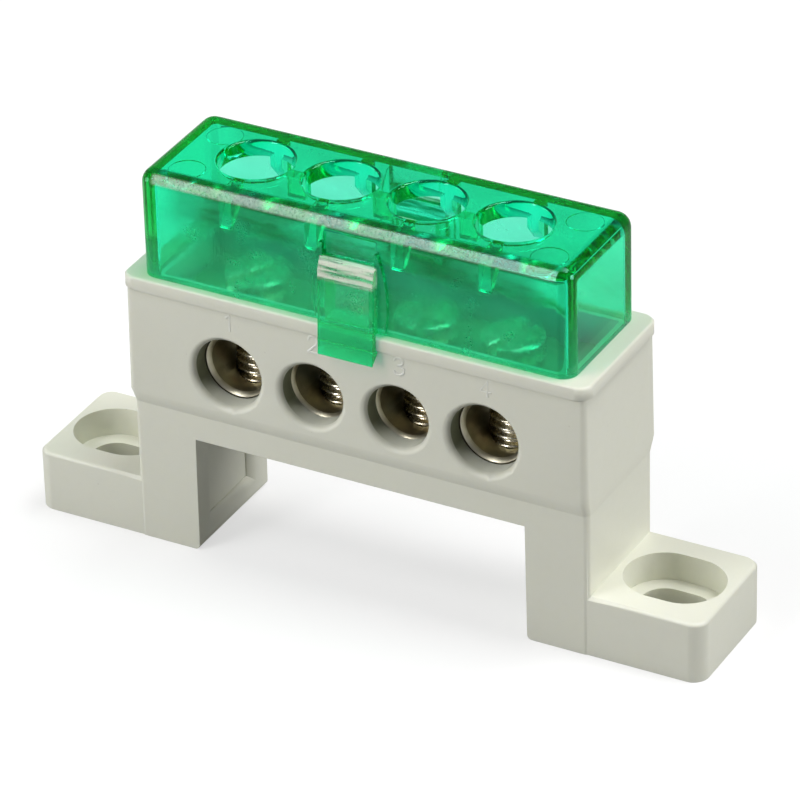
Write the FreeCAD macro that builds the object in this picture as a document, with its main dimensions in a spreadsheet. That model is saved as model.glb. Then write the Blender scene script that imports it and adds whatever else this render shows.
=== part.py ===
import FreeCAD, Part
import os

import Sketcher

# Four way earth terminal: a moulded bridge housing on two slotted feet holds a drilled metal bar,
# four slotted clamp screws run down into its wire bores, and a transparent cover clips over the rim.
# X runs along the row of wire holes, the front face looks along -Y, and Z is up from the mounting face.
# The origin is at the middle of the mounting face.

# Driving dimensions in millimetres
SIZES = {
    # Wire ways and terminal bar
    "way_pitch": 10.3,
    "bar_end": 8.05,
    "bar_depth": 11.2,
    "bar_height": 12.6,
    "bar_edge": 0.3,
    "bore_rise": 6.2,
    "wire_bore": 7.2,
    "bore_lead": 0.4,
    "dimple_depth": 1.0,
    # Clamp screws
    "thread_diameter": 6.0,
    "thread_clearance": 0.05,
    "tip_gap": 0.35,
    "tip_chamfer": 0.7,
    "head_gap": 0.4,
    "head_diameter": 7.0,
    "head_thickness": 2.4,
    "head_bevel": 0.35,
    "drive_width": 1.1,
    "drive_depth": 1.3,
    # Housing
    "bar_clearance": 0.15,
    "end_wall": 4.35,
    "side_wall": 2.85,
    "floor_thickness": 3.4,
    "bar_sink": 3.3,
    "outer_entry": 8.1,
    "inner_entry": 7.4,
    "entry_lip": 0.65,
    "rim_thickness": 1.7,
    "rim_overhang": 0.4,
    "rim_corner": 1.6,
    "rim_edge": 0.3,
    "rim_underedge": 0.15,
    "wall_corner": 0.65,
    "belly_swell": 0.18,
    "step_rise": 1.8,
    "step_lift": 3.1,
    "leg_end_step": 0.18,
    "leg_face_step": 0.76,
    "bridge_height": 14.2,
    "leg_thickness": 7.55,
    "leg_draft": 0.12,
    "leg_toe": 0.6,
    "leg_pocket_width": 8.8,
    "leg_pocket_depth": 0.9,
    "leg_pocket_height": 2.6,
    "leg_pocket_edge": 0.75,
    "foot_reach": 13.2,
    "foot_step": 0.1,
    "foot_height": 7.3,
    "foot_corner": 1.8,
    "foot_edge": 0.45,
    "fixing_offset": 6.45,
    "fixing_travel": 2.4,
    "fixing_width": 5.4,
    "head_seat": 1.8,
    "head_recess_depth": 3.4,
    # Cover
    "end_ledge": 2.2,
    "side_ledge": 0.825,
    "cover_height": 12.75,
    "cover_corner": 1.75,
    "cover_edge": 1.7,
    "cover_wall": 1.6,
    "cover_roof": 1.9,
    "hollow_corner": 0.6,
    "driver_clearance": 0.65,
    "access_lip": 0.35,
    "web_thickness": 1.4,
    "web_drop": 2.5,
    "gusset_thickness": 1.4,
    "gusset_drop": 3.1,
    "gusset_reach": 3.0,
    "gusset_foot": 0.5,
    "gusset_toe": 0.4,
    "ejector_diameter": 4.0,
    "ejector_depth": 0.15,
    "ejector_inset": 4.1,
    # Clips, their heights counted from the rim top
    "clip_width": 6.6,
    "clip_top": 8.1,
    "clip_shelf": 0.75,
    "clip_shoulder": 1.2,
    "clip_bulge": 1.25,
    "clip_tip_bulge": 1.8,
    "clip_drop": 3.1,
    "clip_lead": 1.1,
    "clip_gap": 0.05,
    "clip_bite": 0.3,
    "clip_root": 0.4,
    "clip_window_width": 5.3,
    "clip_window_bottom": 0.9,
    "clip_window_top": 6.0,
    "clip_skin": 0.6,
    "cheek_top_width": 6.9,
    "cheek_foot_width": 8.3,
    "cheek_radius": 18.0,
    "cheek_rise": 0.45,
    "cheek_height": 9.8,
    "panel_width": 6.2,
    "panel_height": 2.9,
    "panel_sink": 0.5,
}

# Angle of each screw's slot as it was last turned, in degrees
SLOT_ANGLES = (62.0, 18.0, 104.0, 78.0)
WAYS = len(SLOT_ANGLES)

document = FreeCAD.newDocument("earth_terminal_bar")
sheet = document.addObject("Spreadsheet::Sheet", "size")
for row, (name, number) in enumerate(SIZES.items(), 1):
    sheet.set(f"A{row}", name)
    sheet.set(f"B{row}", str(number))
    sheet.setAlias(f"B{row}", name)
document.recompute()

# Lengths and heights that follow from the driving dimensions
BAR_LENGTH = f"({WAYS - 1} * size.way_pitch + 2 * size.bar_end)"
TROUGH_LENGTH = f"({BAR_LENGTH} + 2 * size.bar_clearance)"
TROUGH_DEPTH = "(size.bar_depth + 2 * size.bar_clearance)"
RIM_LENGTH = f"({TROUGH_LENGTH} + 2 * size.end_wall)"
RIM_DEPTH = f"({TROUGH_DEPTH} + 2 * size.side_wall)"
NECK_LENGTH = f"({RIM_LENGTH} - 2 * size.rim_overhang)"
NECK_DEPTH = f"({RIM_DEPTH} - 2 * size.rim_overhang)"
BELLY_LENGTH = f"({NECK_LENGTH} + 2 * size.belly_swell)"
BELLY_DEPTH = f"({NECK_DEPTH} + 2 * size.belly_swell)"
BELLY_CORNER = "(size.wall_corner + size.belly_swell)"
LEG_SPAN = f"({BELLY_LENGTH} - 2 * size.leg_end_step)"
LEG_DEPTH = f"({BELLY_DEPTH} - 2 * size.leg_face_step)"
LEG_CORNER = f"({BELLY_CORNER} - size.leg_end_step)"
FOOT_DEPTH = f"({LEG_DEPTH} - 2 * size.foot_step)"
FOOT_END = f"({LEG_SPAN} / 2 + size.foot_reach)"
FIXING_X = f"({LEG_SPAN} / 2 + size.fixing_offset)"
COVER_LENGTH = f"({RIM_LENGTH} - 2 * size.end_ledge)"
COVER_DEPTH = f"({RIM_DEPTH} - 2 * size.side_ledge)"
WALL_OUTSIDE = f"({COVER_DEPTH} / 2)"
WALL_INSIDE = f"({WALL_OUTSIDE} - size.cover_wall)"
ACCESS = "(size.head_diameter + 2 * size.driver_clearance)"

STEP_HEIGHT = "(size.bridge_height + size.step_lift)"
BAR_BOTTOM = "(size.bridge_height + size.floor_thickness)"
BAR_TOP = f"({BAR_BOTTOM} + size.bar_height)"
WIRE_HEIGHT = f"({BAR_BOTTOM} + size.bore_rise)"
BORE_FLOOR = f"({WIRE_HEIGHT} - size.wire_bore / 2)"
TAP_FLOOR = f"({BORE_FLOOR} - size.dimple_depth)"
SCREW_TIP = f"({TAP_FLOOR} + size.tip_gap)"
SHOULDER = f"({BAR_TOP} + size.head_gap)"
HEAD_TOP = f"({SHOULDER} + size.head_thickness)"
RIM_TOP = f"({BAR_TOP} + size.bar_sink)"
RIM_BOTTOM = f"({RIM_TOP} - size.rim_thickness)"
COVER_TOP = f"({RIM_TOP} + size.cover_height)"
ROOF_UNDERSIDE = f"({COVER_TOP} - size.cover_roof)"
ZERO = "(0 * size.way_pitch)"


def value(expression):
    """The number that an expression over the sheet gives."""
    return float(sheet.evalExpression(expression.replace("size.", "")))


def new_body(label):
    body = document.addObject("PartDesign::Body", label)
    body.Label = label
    return body


def new_sketch(body, name, role, offset=None):
    """An empty sketch on one of the body's origin planes, moved along that plane's normal by offset."""
    sketch = body.newObject("Sketcher::SketchObject", name)
    plane = next(feature for feature in body.Origin.OriginFeatures if feature.Role == role)
    sketch.AttachmentSupport = [(plane, "")]
    sketch.MapMode = "FlatFace"
    if offset:
        sketch.setExpression("AttachmentOffset.Base.z", offset)
    return sketch


def bind_point(sketch, geometry, end, x, y):
    """Ties one end of a sketch line or arc to a place that the sheet gives."""
    for kind, expression in (("DistanceX", x), ("DistanceY", y)):
        index = sketch.addConstraint(Sketcher.Constraint(kind, geometry, end, value(expression)))
        sketch.setExpression(f"Constraints[{index}]", expression)


def bind_radius(sketch, geometry, radius):
    index = sketch.addConstraint(Sketcher.Constraint("Radius", geometry, value(radius)))
    sketch.setExpression(f"Constraints[{index}]", radius)


def draw_loop(sketch, corners):
    """A closed loop of lines through corners, each an (x, y) pair of expressions."""
    points = [FreeCAD.Vector(value(x), value(y), 0) for x, y in corners]
    lines = []
    for start, stop in zip(points, points[1:] + points[:1]):
        lines.append(sketch.addGeometry(Part.LineSegment(start, stop), False))
    for line, following, (x, y) in zip(lines, lines[1:] + lines[:1], corners):
        sketch.addConstraint(Sketcher.Constraint("Coincident", line, 2, following, 1))
        bind_point(sketch, line, 1, x, y)


def draw_rectangle(sketch, left, right, bottom, top):
    draw_loop(sketch, [(left, bottom), (right, bottom), (right, top), (left, top)])


def draw_circle(sketch, x, y, diameter):
    centre = FreeCAD.Vector(value(x), value(y), 0)
    radius = f"{diameter} / 2"
    circle = sketch.addGeometry(Part.Circle(centre, FreeCAD.Vector(0, 0, 1), value(radius)), False)
    bind_point(sketch, circle, 3, x, y)
    bind_radius(sketch, circle, radius)


def draw_arc_loop(sketch, corners, radii):
    """A closed loop through corners; radii holds None for a line or a radius for an arc that bulges out."""
    points = [FreeCAD.Vector(value(x), value(y), 0) for x, y in corners]
    pieces = []
    for start, stop, radius in zip(points, points[1:] + points[:1], radii):
        if radius is None:
            pieces.append((sketch.addGeometry(Part.LineSegment(start, stop), False), 1, 2))
            continue
        chord = stop - start
        outward = FreeCAD.Vector(chord.y, -chord.x, 0).normalize()
        reach = value(radius)
        sagitta = reach - max(reach**2 - chord.Length**2 / 4, 0) ** 0.5
        arc = Part.Arc(start, (start + stop) / 2 + outward * sagitta, stop)
        pieces.append((sketch.addGeometry(arc, False), 1, 2))
        bind_radius(sketch, pieces[-1][0], radius)
    for (piece, first, last), (following, head, _) in zip(pieces, pieces[1:] + pieces[:1]):
        sketch.addConstraint(Sketcher.Constraint("Coincident", piece, last, following, head))
    for (piece, first, last), (x, y), radius in zip(pieces, corners, radii):
        if radius is None:
            bind_point(sketch, piece, first, x, y)
    for (piece, first, last), (x, y), radius in zip(pieces, corners[1:] + corners[:1], radii):
        if radius is None:
            bind_point(sketch, piece, last, x, y)


def draw_rounded_rectangle(sketch, length, depth, corner):
    """A rectangle about the origin with round corners."""
    half, side = f"{length} / 2", f"{depth} / 2"
    near, far = f"({half} - {corner})", f"({side} - {corner})"
    corners = [
        (f"-{near}", f"-{side}"),
        (near, f"-{side}"),
        (half, f"-{far}"),
        (half, far),
        (near, side),
        (f"-{near}", side),
        (f"-{half}", far),
        (f"-{half}", f"-{far}"),
    ]
    draw_arc_loop(sketch, corners, [None, corner] * 4)


def draw_slot(sketch, x, travel, width):
    """A slot along X with round ends, centred on (x, 0)."""
    left, right, side = f"({x} - {travel} / 2)", f"({x} + {travel} / 2)", f"{width} / 2"
    corners = [(left, f"-{side}"), (right, f"-{side}"), (right, side), (left, side)]
    points = [FreeCAD.Vector(value(a), value(b), 0) for a, b in corners]
    reach = FreeCAD.Vector(value(side), 0, 0)
    middle = FreeCAD.Vector(0, value(side), 0)
    pieces = [
        Part.LineSegment(points[0], points[1]),
        Part.Arc(points[1], points[1] + middle + reach, points[2]),
        Part.LineSegment(points[2], points[3]),
        Part.Arc(points[3], points[3] - middle - reach, points[0]),
    ]
    pieces = [sketch.addGeometry(piece, False) for piece in pieces]
    bottom, right_end, top, left_end = pieces
    for piece, following in zip(pieces, pieces[1:] + pieces[:1]):
        sketch.addConstraint(Sketcher.Constraint("Coincident", piece, 2, following, 1))
    bind_point(sketch, bottom, 1, *corners[0])
    bind_point(sketch, bottom, 2, *corners[1])
    bind_point(sketch, top, 1, *corners[2])
    bind_point(sketch, top, 2, *corners[3])
    for arc, expression in ((right_end, right), (left_end, left)):
        index = sketch.addConstraint(Sketcher.Constraint("DistanceX", arc, 3, value(expression)))
        sketch.setExpression(f"Constraints[{index}]", expression)


def settle(body, feature):
    """Makes the feature the body's tip, recomputes it and stops if it has failed."""
    body.Tip = feature
    document.recompute()
    if "Invalid" in feature.State or feature.Shape.isNull() or not feature.Shape.isValid():
        raise RuntimeError(f"{feature.Label} of {body.Label} did not build")
    return feature


def grow(body, kind, name, sketch, **settings):
    """Adds a sketched feature, binds its sizes, makes it the tip and recomputes."""
    feature = body.newObject(f"PartDesign::{kind}", name)
    feature.Profile = sketch
    for key, setting in settings.items():
        if isinstance(setting, str):
            feature.setExpression(key, setting)
        else:
            setattr(feature, key, setting)
    return settle(body, feature)


def cut(body, name, sketch, **settings):
    """A pocket that must take material away."""
    before = body.Tip.Shape.Volume
    feature = grow(body, "Pocket", name, sketch, **settings)
    if feature.Shape.Volume > before - 0.001:
        raise RuntimeError(f"{name} of {body.Label} cuts nothing")
    return feature


def soften(body, name, size, wanted, kind="Fillet"):
    """Rounds or bevels the edges of the body's last feature that wanted() picks."""
    base = body.Tip
    names = [f"Edge{index}" for index, edge in enumerate(base.Shape.Edges, 1) if wanted(edge)]
    if not names:
        raise RuntimeError(f"{name} of {body.Label} finds no edge")
    feature = body.newObject(f"PartDesign::{kind}", name)
    feature.Base = (base, names)
    feature.setExpression("Radius" if kind == "Fillet" else "Size", size)
    return settle(body, feature)


def flat_at(edge, height):
    """True if the whole edge lies at one height."""
    box = edge.BoundBox
    return abs(box.ZMin - height) < 0.001 and abs(box.ZMax - height) < 0.001


def circle_of(edge, diameter):
    curve = edge.Curve
    return isinstance(curve, Part.Circle) and abs(curve.Radius * 2 - diameter) < 0.001


def way_x(way):
    """Expression for the X of a wire way, counted from the left."""
    return f"({way - (WAYS - 1) / 2} * size.way_pitch)"


# Housing
def build_housing():
    body = new_body("housing")

    # The bridge seen from the front: two legs and the beam between them
    bridge = new_sketch(body, "bridge_outline", "XZ_Plane")
    out = f"{LEG_SPAN} / 2"
    inside = f"({LEG_SPAN} / 2 - size.leg_thickness)"
    spread = f"({inside} + size.leg_draft)"
    draw_loop(
        bridge,
        [
            (f"-{out}", ZERO),
            (f"-{spread}", ZERO),
            (f"-{inside}", "size.bridge_height"),
            (inside, "size.bridge_height"),
            (spread, ZERO),
            (out, ZERO),
            (out, STEP_HEIGHT),
            (f"-{out}", STEP_HEIGHT),
        ],
    )
    grow(body, "Pad", "bridge", bridge, Length=LEG_DEPTH, Midplane=True)
    leg_end, toe_x = value(f"{LEG_SPAN} / 2"), value(spread)

    def leg_corner(edge):
        box = edge.BoundBox
        return box.XLength < 0.001 and box.YLength < 0.001 and abs(abs(box.XMin) - leg_end) < 0.001

    soften(body, "leg_corners", LEG_CORNER, leg_corner)

    def leg_toe(edge):
        box = edge.BoundBox
        return flat_at(edge, 0) and box.XLength < 0.001 and abs(abs(box.XMin) - toe_x) < 0.001

    soften(body, "leg_toes", "size.leg_toe", leg_toe)

    # The feet reach outward from the legs
    feet = new_sketch(body, "feet_outline", "XY_Plane")
    for side in ("", "-"):
        root = f"{side}({LEG_SPAN} / 2 - size.leg_thickness / 2)"
        tip = f"{side}{FOOT_END}"
        corners = [(root, f"-{FOOT_DEPTH} / 2"), (tip, f"-{FOOT_DEPTH} / 2")]
        corners += [(tip, f"{FOOT_DEPTH} / 2"), (root, f"{FOOT_DEPTH} / 2")]
        draw_loop(feet, corners)
    grow(body, "Pad", "feet", feet, Length="size.foot_height")
    foot_end, foot_top = value(FOOT_END), value("size.foot_height")

    def foot_corner(edge):
        box = edge.BoundBox
        upright = box.ZLength > 0.9 * foot_top and box.XLength < 0.001
        return upright and abs(abs(box.XMin) - foot_end) < 0.001

    soften(body, "foot_corners", "size.foot_corner", foot_corner)

    def foot_rim(edge):
        box = edge.BoundBox
        outside = max(abs(box.XMin), abs(box.XMax)) > leg_end + 0.01
        crossing = box.YLength > 0.9 * value(FOOT_DEPTH) and box.XMax < foot_end - 0.01
        return flat_at(edge, foot_top) and outside and not crossing

    soften(body, "foot_edges", "size.foot_edge", foot_rim, "Chamfer")

    # Above the legs the box swells to the belly round the wire holes, then draws in to the neck
    leg_section = new_sketch(body, "leg_section", "XY_Plane", STEP_HEIGHT)
    draw_rounded_rectangle(leg_section, LEG_SPAN, LEG_DEPTH, LEG_CORNER)
    belly = new_sketch(body, "belly_section", "XY_Plane", f"{STEP_HEIGHT} + size.step_rise")
    draw_rounded_rectangle(belly, BELLY_LENGTH, BELLY_DEPTH, BELLY_CORNER)
    neck = new_sketch(body, "neck_section", "XY_Plane", RIM_BOTTOM)
    draw_rounded_rectangle(neck, NECK_LENGTH, NECK_DEPTH, "size.wall_corner")
    grow(body, "AdditiveLoft", "box", leg_section, Sections=[belly, neck], Ruled=True)

    # The rim flange that the cover stands on
    rim = new_sketch(body, "rim_outline", "XY_Plane", RIM_BOTTOM)
    draw_rounded_rectangle(rim, RIM_LENGTH, RIM_DEPTH, "size.rim_corner")
    grow(body, "Pad", "rim", rim, Length="size.rim_thickness")
    rim_top, rim_bottom = value(RIM_TOP), value(RIM_BOTTOM)
    rim_end, rim_side = value(f"{RIM_LENGTH} / 2"), value(f"{RIM_DEPTH} / 2")
    corner = value("size.rim_corner")

    def rim_outside(edge):
        box = edge.BoundBox
        at_end = max(abs(box.XMax), abs(box.XMin)) > rim_end - 0.01
        at_side = max(abs(box.YMax), abs(box.YMin)) > rim_side - 0.01
        return at_side or (at_end and max(abs(box.YMax), abs(box.YMin)) > rim_side - corner - 0.01)

    for name, height in (("rim_edge", rim_top), ("rim_underedge", rim_bottom)):
        soften(
            body,
            f"{name}s",
            f"size.{name}",
            lambda edge: flat_at(edge, height) and rim_outside(edge),
            "Chamfer",
        )

    # The trough that the bar drops into
    trough = new_sketch(body, "trough_outline", "XY_Plane", RIM_TOP)
    draw_rounded_rectangle(trough, TROUGH_LENGTH, TROUGH_DEPTH, "size.bar_edge")
    cut(body, "trough", trough, Length=f"{RIM_TOP} - {BAR_BOTTOM}")

    # Wire holes through the front and rear walls, the outer pair wider than the inner pair
    entries = new_sketch(body, "wire_entries", "XZ_Plane")
    holes = []
    for way in range(WAYS):
        entry = "size.outer_entry" if way in (0, WAYS - 1) else "size.inner_entry"
        draw_circle(entries, way_x(way), WIRE_HEIGHT, entry)
        holes.append((FreeCAD.Vector(value(way_x(way)), 0, value(WIRE_HEIGHT)), value(entry) / 2))
    cut(body, "wire_holes", entries, Length=f"2 * {RIM_DEPTH}", Midplane=True)
    trough_face = value(f"{TROUGH_DEPTH} / 2")

    def wire_mouth(edge):
        """The outer ends of the wire holes, where their walls meet the drawn-in faces."""
        if edge.BoundBox.XLength < 0.001:
            return False
        points = edge.discretize(5)
        outside = min(abs(point.y) for point in points) > trough_face + 0.01
        flat = [FreeCAD.Vector(point.x, 0, point.z) for point in points]
        on_wall = any(
            all(abs(point.distanceToPoint(centre) - reach) < 0.01 for point in flat)
            for centre, reach in holes
        )
        return outside and on_wall

    soften(body, "wire_mouths", "size.entry_lip", wire_mouth, "Chamfer")

    # Shallow core pockets in the faces of the legs that look at each other
    pockets = new_sketch(body, "leg_pocket_outline", "YZ_Plane")
    draw_rectangle(
        pockets,
        "-size.leg_pocket_width / 2",
        "size.leg_pocket_width / 2",
        "size.leg_pocket_height",
        "size.bridge_height",
    )
    length = f"2 * ({inside} + size.leg_draft + size.leg_pocket_depth)"
    cut(body, "leg_pockets", pockets, Length=length, Midplane=True)
    mouth, brim = value("size.leg_pocket_width / 2"), value("size.leg_pocket_height")
    pocket_end = value(f"{inside} + size.leg_draft + size.leg_pocket_depth") - 0.01

    def pocket_mouth(edge):
        box = edge.BoundBox
        under = box.ZMax < value("size.bridge_height") + 0.001 and box.ZLength > 1
        upright = under and box.YLength < 0.001 and abs(abs(box.YMin) - mouth) < 0.001
        sill = flat_at(edge, brim) and box.XLength < 0.001 and box.YLength > mouth
        return (upright or sill) and max(abs(box.XMin), abs(box.XMax)) < pocket_end

    soften(body, "pocket_mouths", "size.leg_pocket_edge", pocket_mouth, "Chamfer")

    # Slotted fixing holes with a sunk seat for the screw head
    seats = new_sketch(body, "head_recess_outline", "XY_Plane", "size.foot_height")
    slots = new_sketch(body, "fixing_slot_outline", "XY_Plane", "size.foot_height")
    seat = "(size.fixing_width + 2 * size.head_seat)"
    for side in ("", "-"):
        draw_slot(seats, f"{side}{FIXING_X}", "size.fixing_travel", seat)
        draw_slot(slots, f"{side}{FIXING_X}", "size.fixing_travel", "size.fixing_width")
    cut(body, "head_recesses", seats, Length="size.head_recess_depth")
    cut(body, "fixing_slots", slots, Length="2 * size.foot_height")
    return body


# Terminal bar
def build_bar():
    body = new_body("terminal_bar")
    section = new_sketch(body, "bar_outline", "XY_Plane", BAR_BOTTOM)
    half, side = f"{BAR_LENGTH} / 2", "size.bar_depth / 2"
    draw_rectangle(section, f"-{half}", half, f"-{side}", side)
    grow(body, "Pad", "bar", section, Length="size.bar_height")
    soften(body, "bar_edges", "size.bar_edge", lambda edge: True, "Chamfer")

    # Cross bores for the wires, with a lead at both faces
    bores = new_sketch(body, "bore_circles", "XZ_Plane")
    for way in range(WAYS):
        draw_circle(bores, way_x(way), WIRE_HEIGHT, "size.wire_bore")
    cut(body, "wire_bores", bores, Length="2 * size.bar_depth", Midplane=True)
    bore = value("size.wire_bore")
    soften(body, "bore_leads", "size.bore_lead", lambda edge: circle_of(edge, bore), "Chamfer")

    # Tapped holes from above; the drill runs a little way into the floor of each bore
    taps = new_sketch(body, "tap_circles", "XY_Plane", BAR_TOP)
    for way in range(WAYS):
        draw_circle(taps, way_x(way), ZERO, "(size.thread_diameter + 2 * size.thread_clearance)")
    cut(body, "tapped_holes", taps, Length=f"{BAR_TOP} - {TAP_FLOOR}")
    return body


# Clamp screws
def build_screw(way, slot_angle):
    body = new_body(f"clamp_screw_{way + 1}")
    profile = new_sketch(body, f"screw_profile_{way + 1}", "XZ_Plane")
    radius, head = "size.thread_diameter / 2", "size.head_diameter / 2"
    draw_loop(
        profile,
        [
            (ZERO, SCREW_TIP),
            (f"{radius} - size.tip_chamfer", SCREW_TIP),
            (radius, f"{SCREW_TIP} + size.tip_chamfer"),
            (radius, SHOULDER),
            (head, SHOULDER),
            (head, f"{HEAD_TOP} - size.head_bevel"),
            (f"{head} - size.head_bevel", HEAD_TOP),
            (ZERO, HEAD_TOP),
        ],
    )
    turned = body.newObject("PartDesign::Revolution", f"turned_{way + 1}")
    turned.Profile = profile
    turned.ReferenceAxis = (profile, ["V_Axis"])
    turned.Angle = 360
    settle(body, turned)
    slot = new_sketch(body, f"slot_outline_{way + 1}", "XY_Plane", HEAD_TOP)
    half, side = "size.head_diameter", "size.drive_width / 2"
    draw_rectangle(slot, f"-{half}", half, f"-{side}", side)
    cut(body, f"slot_{way + 1}", slot, Length="size.drive_depth")
    turn = FreeCAD.Rotation(FreeCAD.Vector(0, 0, 1), slot_angle)
    body.Placement = FreeCAD.Placement(FreeCAD.Vector(0, 0, 0), turn)
    body.setExpression("Placement.Base.x", way_x(way))
    return body


# Cover
def build_cover():
    body = new_body("cover")
    outline = new_sketch(body, "cover_outline", "XY_Plane", RIM_TOP)
    draw_rounded_rectangle(outline, COVER_LENGTH, COVER_DEPTH, "size.cover_corner")
    grow(body, "Pad", "shell", outline, Length="size.cover_height")
    top = value(COVER_TOP)
    soften(body, "top_edges", "size.cover_edge", lambda edge: flat_at(edge, top))

    # Barrel shaped cheeks that stiffen the wall behind each clip
    cheek = new_sketch(body, "cheek_outline", "XZ_Plane")
    foot = f"{RIM_TOP} + size.clip_root"
    crown = f"{RIM_TOP} + size.cheek_height"
    draw_arc_loop(
        cheek,
        [
            ("-size.cheek_foot_width / 2", foot),
            ("size.cheek_foot_width / 2", foot),
            ("size.cheek_top_width / 2", crown),
            ("-size.cheek_top_width / 2", crown),
        ],
        [None, "size.cheek_radius", None, "size.cheek_radius"],
    )
    grow(body, "Pad", "cheeks", cheek, Length=f"{COVER_DEPTH} + 2 * size.cheek_rise", Midplane=True)

    # Clip tongues at the front and the rear: they bulge over the rim and hook under it
    tongue = new_sketch(body, "clip_outline", "YZ_Plane")
    hang = f"({RIM_DEPTH} / 2 + size.clip_gap)"
    crest = f"({RIM_TOP} + size.clip_top)"
    for side in ("", "-"):
        outline = [
            (f"{WALL_OUTSIDE} - size.cover_wall / 2", crest),
            (f"{WALL_OUTSIDE} + size.clip_shelf", crest),
            (f"{WALL_OUTSIDE} + size.clip_bulge", f"{crest} - size.clip_shoulder"),
            (f"{WALL_OUTSIDE} + size.clip_tip_bulge", f"{RIM_TOP} - size.clip_drop"),
            (f"{hang} - size.clip_bite", f"{RIM_TOP} - size.clip_drop + size.clip_lead"),
            (f"{hang} - size.clip_bite", f"{RIM_BOTTOM} - size.clip_gap"),
            (hang, f"{RIM_BOTTOM} - size.clip_gap"),
            (hang, foot),
            (f"{WALL_OUTSIDE} - size.cover_wall / 2", foot),
        ]
        draw_loop(tongue, [(f"{side}({y})", z) for y, z in outline])
    grow(body, "Pad", "clips", tongue, Length="size.clip_width", Midplane=True)

    # Sunk panels in the wall above the clips
    panel = new_sketch(body, "panel_outline", "YZ_Plane")
    lintel = f"({crest} + size.panel_height)"
    for side in ("", "-"):
        floor = f"{side}({WALL_OUTSIDE} - size.panel_sink)"
        outer = f"{side}({WALL_OUTSIDE} + size.cover_wall)"
        draw_rectangle(panel, floor, outer, crest, lintel)
    cut(body, "panels", panel, Length="size.panel_width", Midplane=True)

    # The inside of the box
    inside = new_sketch(body, "hollow_outline", "XY_Plane", RIM_TOP)
    draw_rounded_rectangle(
        inside,
        f"({COVER_LENGTH} - 2 * size.cover_wall)",
        f"({COVER_DEPTH} - 2 * size.cover_wall)",
        "size.hollow_corner",
    )
    cut(body, "hollow", inside, Length="size.cover_height - size.cover_roof", Reversed=True)

    # Each clip is cored out from inside
    window = new_sketch(body, "clip_window", "XZ_Plane")
    half = "size.clip_window_width / 2"
    sill, head = (f"{RIM_TOP} + size.clip_window_{end}" for end in ("bottom", "top"))
    draw_rectangle(window, f"-{half}", half, sill, head)
    depth = f"2 * ({WALL_OUTSIDE} + size.clip_bulge - size.clip_skin)"
    cut(body, "clip_cores", window, Length=depth, Midplane=True)

    # Webs under the roof between neighbouring access holes
    web = new_sketch(body, "web_outline", "XY_Plane", ROOF_UNDERSIDE)
    for way in range(WAYS - 1):
        left, right = f"{way_x(way)} + {ACCESS} / 4", f"{way_x(way + 1)} - {ACCESS} / 4"
        draw_rectangle(web, left, right, "-size.web_thickness / 2", "size.web_thickness / 2")
    grow(body, "Pad", "webs", web, Length="size.web_drop", Reversed=True)

    # Gussets from the roof down the front and rear walls, one pair at each access hole
    gusset = new_sketch(body, "gusset_outline", "YZ_Plane", way_x(0))
    for side in ("", "-"):
        root = f"{WALL_INSIDE} + size.cover_wall / 2"
        outline = [
            (root, f"{ROOF_UNDERSIDE} + size.cover_roof / 2"),
            (root, f"{ROOF_UNDERSIDE} - size.gusset_drop"),
            (f"{WALL_INSIDE} - size.gusset_foot", f"{ROOF_UNDERSIDE} - size.gusset_drop"),
            (f"{WALL_INSIDE} - size.gusset_reach", ROOF_UNDERSIDE),
            (f"{WALL_INSIDE} - size.gusset_reach", f"{ROOF_UNDERSIDE} + size.cover_roof / 2"),
        ]
        draw_loop(gusset, [(f"{side}({y})", z) for y, z in outline])
    first = grow(body, "Pad", "gussets", gusset, Length="size.gusset_thickness", Midplane=True)
    row = body.newObject("PartDesign::LinearPattern", "gusset_row")
    row.Originals = [first]
    row.Direction = (next(f for f in body.Origin.OriginFeatures if f.Role == "X_Axis"), [""])
    row.Occurrences = WAYS
    row.setExpression("Length", f"{WAYS - 1} * size.way_pitch")
    settle(body, row)
    toe_y = value(f"{WALL_INSIDE} - size.gusset_foot")
    toe_z = value(f"{ROOF_UNDERSIDE} - size.gusset_drop")

    def gusset_toe(edge):
        box = edge.BoundBox
        return flat_at(edge, toe_z) and box.YLength < 0.001 and abs(abs(box.YMin) - toe_y) < 0.001

    soften(body, "gusset_toes", "size.gusset_toe", gusset_toe)

    # Access holes for the screwdriver, with a bevelled lip
    access = new_sketch(body, "access_circles", "XY_Plane", COVER_TOP)
    for way in range(WAYS):
        draw_circle(access, way_x(way), ZERO, ACCESS)
    cut(body, "access_holes", access, Length="size.cover_roof + size.web_drop + size.gusset_drop")
    hole = value(ACCESS)

    def access_rim(edge):
        return circle_of(edge, hole) and flat_at(edge, top)

    soften(body, "access_lips", "size.access_lip", access_rim, "Chamfer")

    # Shallow marks that the ejector pins leave under the roof
    marks = new_sketch(body, "ejector_circles", "XY_Plane", ROOF_UNDERSIDE)
    end = f"({way_x(WAYS - 1)} + {ACCESS} / 2 + size.ejector_diameter / 2)"
    for x in (f"-{end}", end):
        for y in ("-size.ejector_inset", "size.ejector_inset"):
            draw_circle(marks, x, y, "size.ejector_diameter")
    cut(body, "ejector_marks", marks, Length="size.ejector_depth", Reversed=True)
    return body


parts = [build_housing(), build_bar()]
parts += [build_screw(way, angle) for way, angle in enumerate(SLOT_ANGLES)]
parts += [build_cover()]
document.recompute()

for item in document.Objects:
    if "Invalid" in item.State or "Error" in item.State:
        raise RuntimeError(f"{item.Label} did not build: {item.State}")
for part in parts:
    if part.Shape.isNull() or not part.Shape.isValid() or len(part.Shape.Solids) != 1:
        raise RuntimeError(f"{part.Label} is not one valid solid")

os.makedirs("parts", exist_ok=True)
for part in parts:
    part.Shape.exportStep(f"parts/{part.Label}.step")
    print(part.Label, round(part.Shape.Volume, 1), part.Shape.BoundBox)
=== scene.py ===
import math

import bmesh
import bpy
from mathutils import Matrix, Vector


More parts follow.
